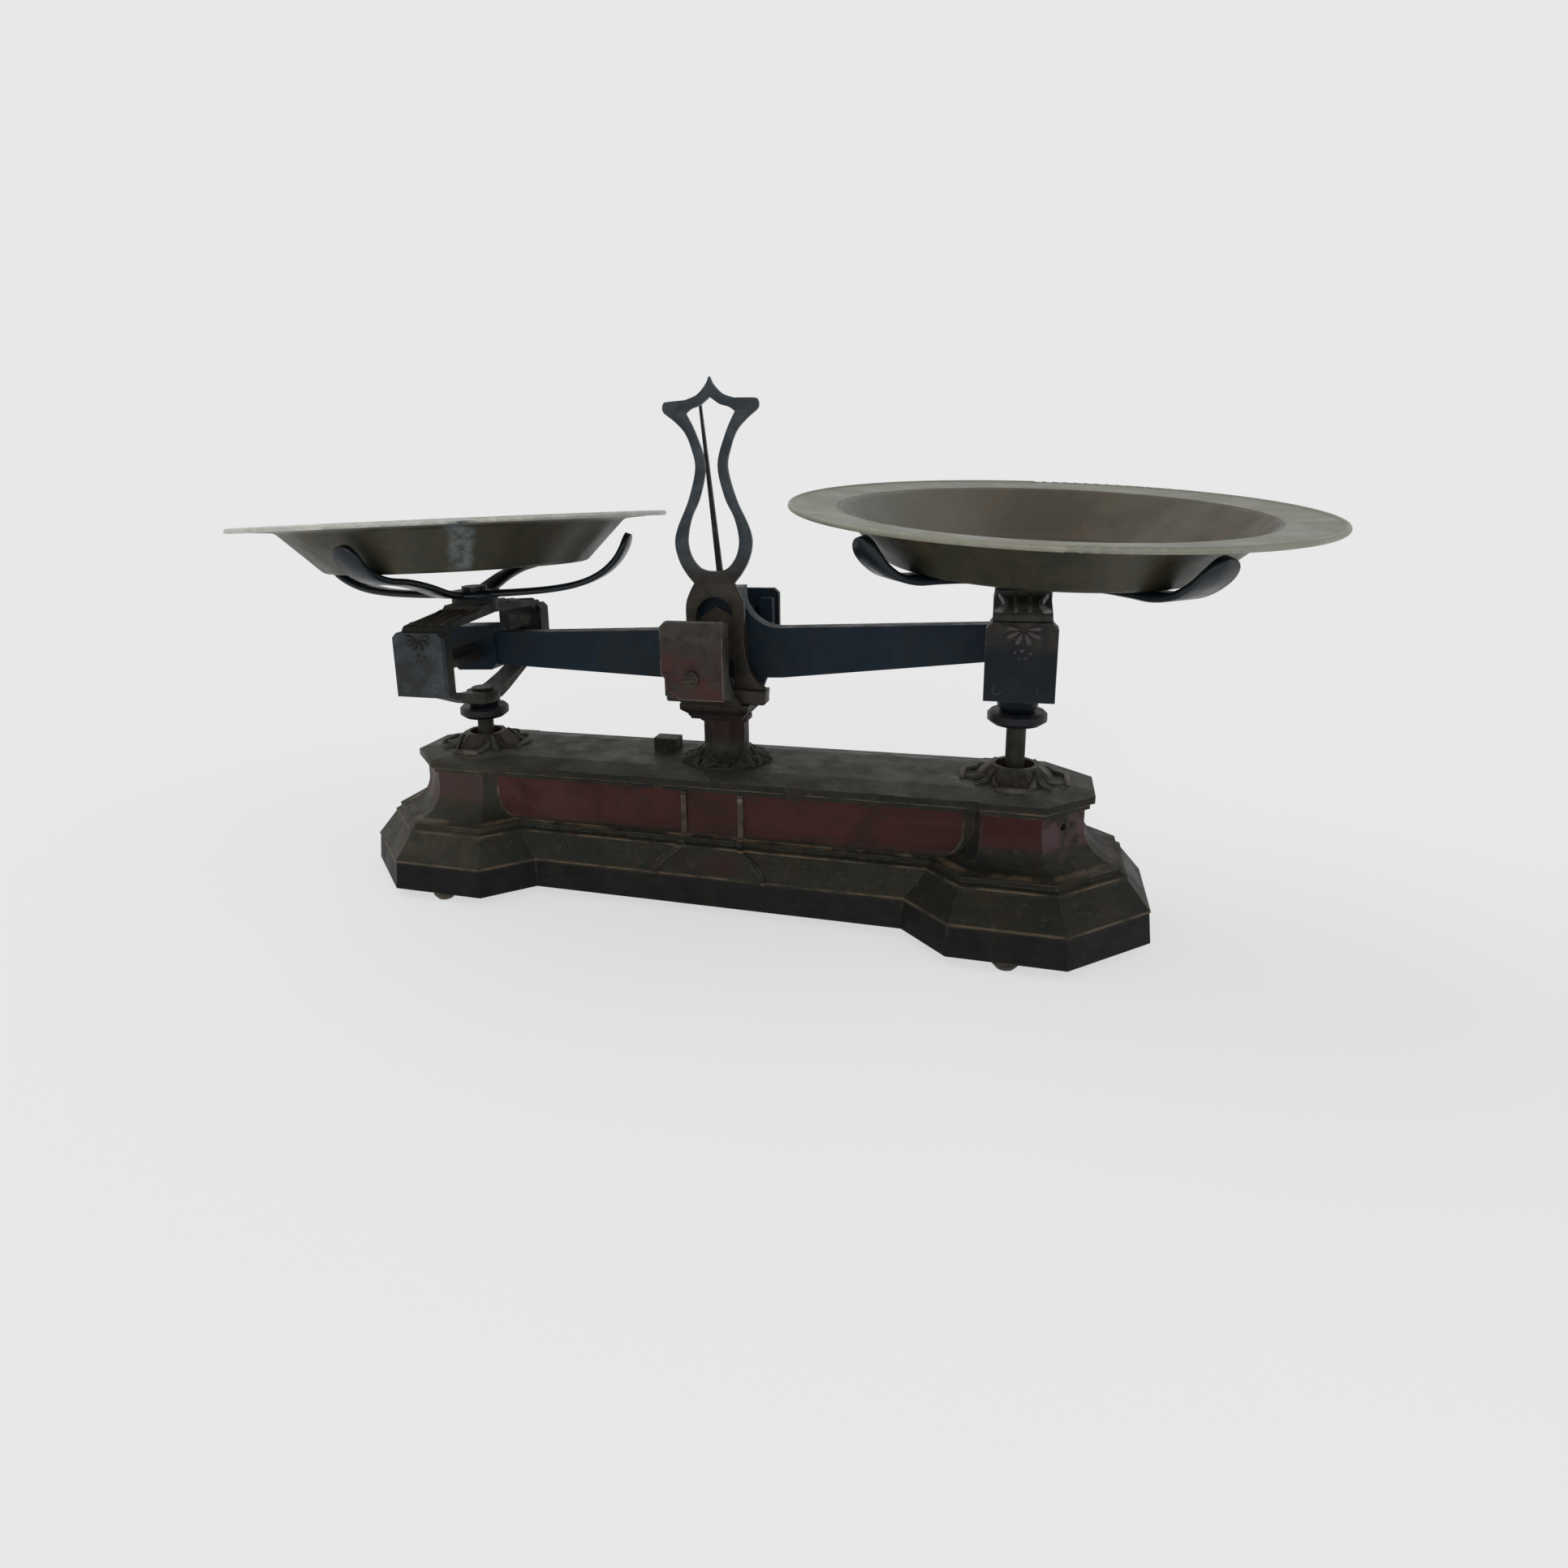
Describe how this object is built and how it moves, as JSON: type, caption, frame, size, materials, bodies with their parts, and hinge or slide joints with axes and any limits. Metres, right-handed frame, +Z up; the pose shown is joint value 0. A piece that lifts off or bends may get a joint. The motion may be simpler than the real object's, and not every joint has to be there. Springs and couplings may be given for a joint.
{
  "type": "counter balance scale",
  "caption": "Counter balance with a tilting beam over a hollow moulded base, two round pans on four-armed spiders and a needle behind a lyre-shaped frame.",
  "frame": {"origin": "middle of the footprint, on the surface the feet stand on", "axes": "+X to the right along the beam, -Y towards the person weighing, +Z up"},
  "size_m": [0.4632, 0.1998, 0.2272],
  "materials": {
    "base_iron": "worn paint",
    "beam_iron": "worn paint",
    "carrier_iron": "worn paint",
    "pan_brass": "dull, tarnished",
    "knife_steel": "dull",
    "screw_steel": "satin",
    "buffer_rubber": "matt"
  },
  "bodies": {
    "base": {"base_casting": "base_iron", "bottom_plate": "beam_iron", "bottom_plate_screws": "screw_steel", "base_feet": "beam_iron", "stem_buffers": "buffer_rubber", "link_bracket": "beam_iron", "link_centre_pin": "knife_steel", "column": "base_iron", "column_stud": "knife_steel", "column_nut": "knife_steel", "fulcrum_bearing_front": "knife_steel", "fulcrum_bearing_rear": "knife_steel", "column_cheek_front": "base_iron", "column_cheek_rear": "beam_iron", "column_cheek_screws": "screw_steel", "lyre_frame": "beam_iron", "lyre_screws": "screw_steel"},
    "beam_group": {"beam": "beam_iron", "fulcrum_knife": "knife_steel", "left_end_knife": "knife_steel", "right_end_knife": "knife_steel", "knife_clamp_front": "carrier_iron", "knife_clamp_rear": "carrier_iron", "pointer": "knife_steel", "pointer_nut": "screw_steel"},
    "lower_link": {"check_link": "beam_iron", "check_link_end_pins": "knife_steel"},
    "left_carrier": {"left_hanger": "carrier_iron", "left_cheek_front": "carrier_iron", "left_cheek_rear": "carrier_iron", "left_cheek_rivets": "carrier_iron", "left_bearing_front": "knife_steel", "left_bearing_rear": "knife_steel", "left_yoke": "beam_iron", "left_collar": "beam_iron", "left_stem": "knife_steel", "left_spider": "carrier_iron", "left_spider_screw": "screw_steel"},
    "right_carrier": {"right_hanger": "carrier_iron", "right_cheek_front": "carrier_iron", "right_cheek_rear": "carrier_iron", "right_cheek_rivets": "carrier_iron", "right_bearing_front": "knife_steel", "right_bearing_rear": "knife_steel", "right_yoke": "beam_iron", "right_collar": "beam_iron", "right_stem": "knife_steel", "right_spider": "carrier_iron", "right_spider_screw": "screw_steel"},
    "left_pan_body": {"left_pan": "pan_brass"},
    "right_pan_body": {"right_pan": "pan_brass"}
  },
  "joints": [
    {"name": "beam_tilt", "type": "hinge", "parent": "base", "child": "beam_group", "pos_m": [0, 0, 0.118], "axis": [0, 1, 0], "range_deg": [0, 4.4]},
    {"name": "left_carrier_swing", "type": "hinge", "parent": "beam_group", "child": "left_carrier", "pos_m": [-0.12491, 0, 0.1132], "axis": [0, 1, 0], "range_deg": [-4.4, 0]},
    {"name": "right_carrier_swing", "type": "hinge", "parent": "beam_group", "child": "right_carrier", "pos_m": [0.12491, 0, 0.1228], "axis": [0, 1, 0], "range_deg": [-4.4, 0]},
    {"name": "lower_link_tilt", "type": "hinge", "parent": "base", "child": "lower_link", "pos_m": [0, 0, 0.024], "axis": [0, 1, 0], "range_deg": [0, 4.4]},
    {"name": "left_pan_lift", "type": "slide", "parent": "left_carrier", "child": "left_pan_body", "axis": [0, 0, 1], "range_m": [0, 0.04]},
    {"name": "right_pan_lift", "type": "slide", "parent": "right_carrier", "child": "right_pan_body", "axis": [0, 0, 1], "range_m": [0, 0.04]}
  ],
  "couplings": [
    {"joint": "left_carrier_swing", "follows": "beam_tilt", "ratio": -1},
    {"joint": "right_carrier_swing", "follows": "beam_tilt", "ratio": -1},
    {"joint": "lower_link_tilt", "follows": "beam_tilt", "ratio": 1}
  ]
}
